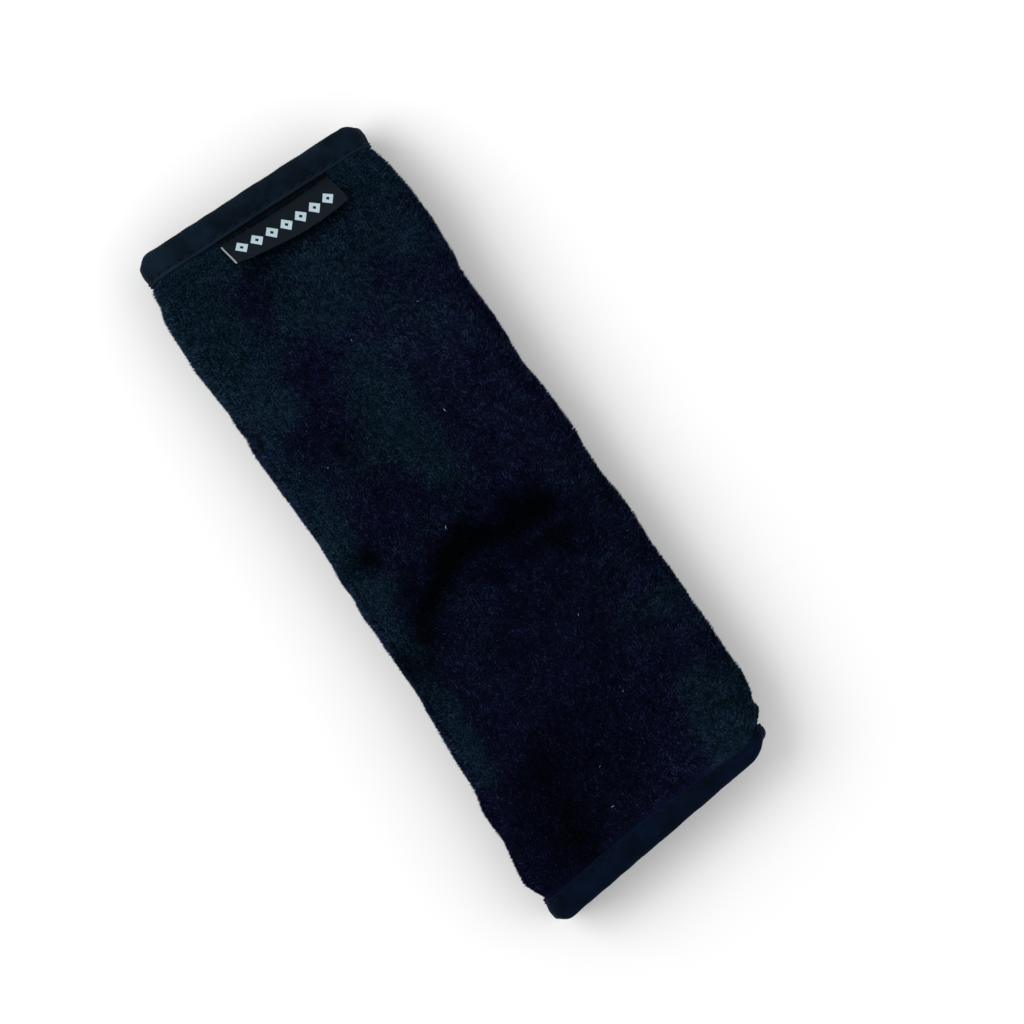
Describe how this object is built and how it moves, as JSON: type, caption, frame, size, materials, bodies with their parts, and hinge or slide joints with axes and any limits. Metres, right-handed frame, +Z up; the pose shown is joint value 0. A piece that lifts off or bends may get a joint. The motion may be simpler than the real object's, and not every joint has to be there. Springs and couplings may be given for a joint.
{
  "type": "seat belt shoulder pad",
  "caption": "Plush padded sleeve that wraps lengthwise round car seat belt webbing and closes underneath, with bound ends and a small folded ribbon label.",
  "frame": {"origin": "centre of the pad's box in plan, on the surface that its closure side lies on", "axes": "+X across the pad, +Y along the pad towards the end with the label, +Z up out of the plush face that shows in use"},
  "size_m": [0.0624, 0.1672, 0.0186],
  "materials": {
    "plush": "short dense navy-black pile",
    "foam": "soft open-cell padding sheet",
    "lining": "smooth black warp knit",
    "binding": "smooth navy-black knitted tape, folded and stitched",
    "hook": "moulded nylon hooks on woven tape",
    "loop": "brushed nylon loops on woven tape",
    "ribbon": "fine woven satin ribbon"
  },
  "bodies": {
    "root": {"plush_cover": "plush", "foam_padding": "foam", "lining": "lining", "label_end_binding": "binding", "plain_end_binding": "binding", "hook_tape": "hook", "loop_tape": "loop", "woven_label": "ribbon"}
  },
  "joints": []
}
